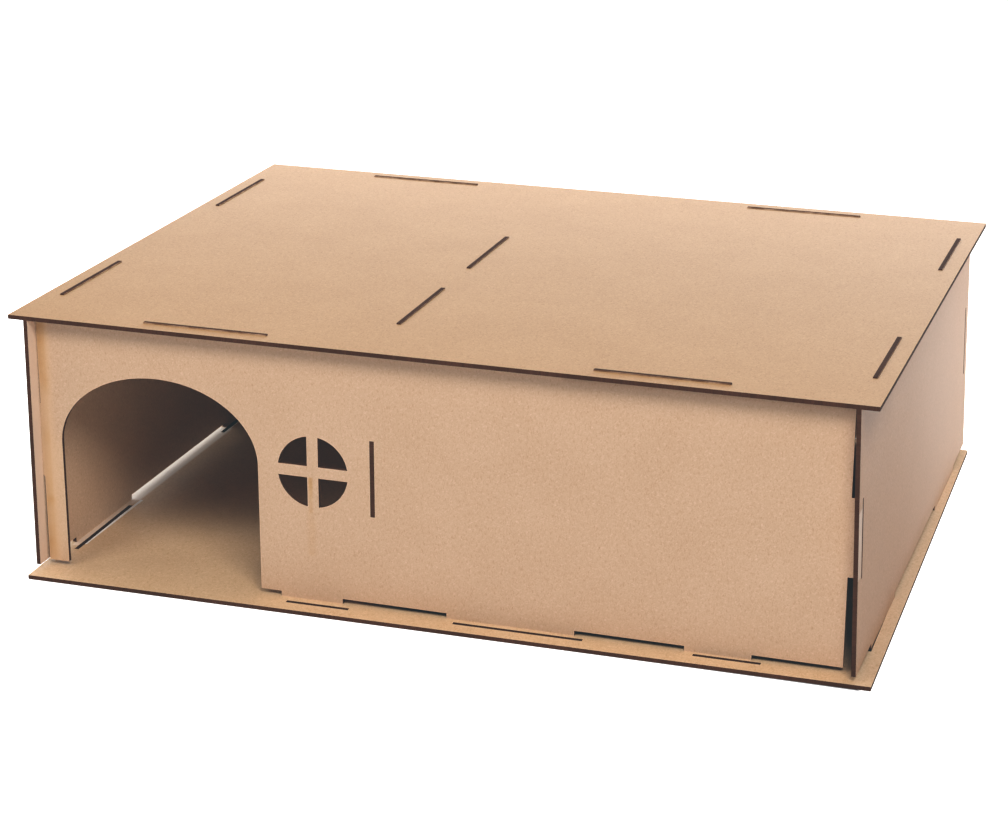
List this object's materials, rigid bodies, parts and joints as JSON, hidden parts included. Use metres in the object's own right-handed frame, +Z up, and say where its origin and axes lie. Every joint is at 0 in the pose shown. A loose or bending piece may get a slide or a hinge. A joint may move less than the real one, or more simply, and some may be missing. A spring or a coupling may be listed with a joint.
{
  "type": "hedgehog house",
  "caption": "Flat-pack hedgehog house of tabbed and slotted fibreboard with an arched doorway, a barred round window, a divider inside, and a roof and shell that lift off.",
  "frame": {"origin": "on the ground, on the underside of the floor panel, under the middle of the roof panel", "axes": "+X to the right along the front wall as seen from the doorway side, +Y to the back wall, +Z up"},
  "size_m": [0.6045, 0.4719, 0.1906],
  "materials": {
    "roof_board": "raw laser-cut medium-density fibreboard, matt tan face with charred edges",
    "floor_board": "raw laser-cut medium-density fibreboard, matt tan face with charred edges",
    "wall_board": "raw laser-cut medium-density fibreboard, matt tan face with charred edges",
    "inner_board": "raw laser-cut medium-density fibreboard, matt tan face with charred edges"
  },
  "bodies": {
    "floor": {"floor_panel": "floor_board"},
    "shell": {"front_wall": "wall_board", "back_wall": "wall_board", "left_wall": "wall_board", "right_wall": "wall_board", "divider_wall": "inner_board"},
    "roof": {"roof_panel": "roof_board"}
  },
  "joints": [
    {"name": "shell_lift", "type": "slide", "parent": "floor", "child": "shell", "axis": [0, 0, 1], "range_m": [0, 0.12]},
    {"name": "roof_lift", "type": "slide", "parent": "shell", "child": "roof", "axis": [0, 0, 1], "range_m": [0, 0.2]}
  ]
}
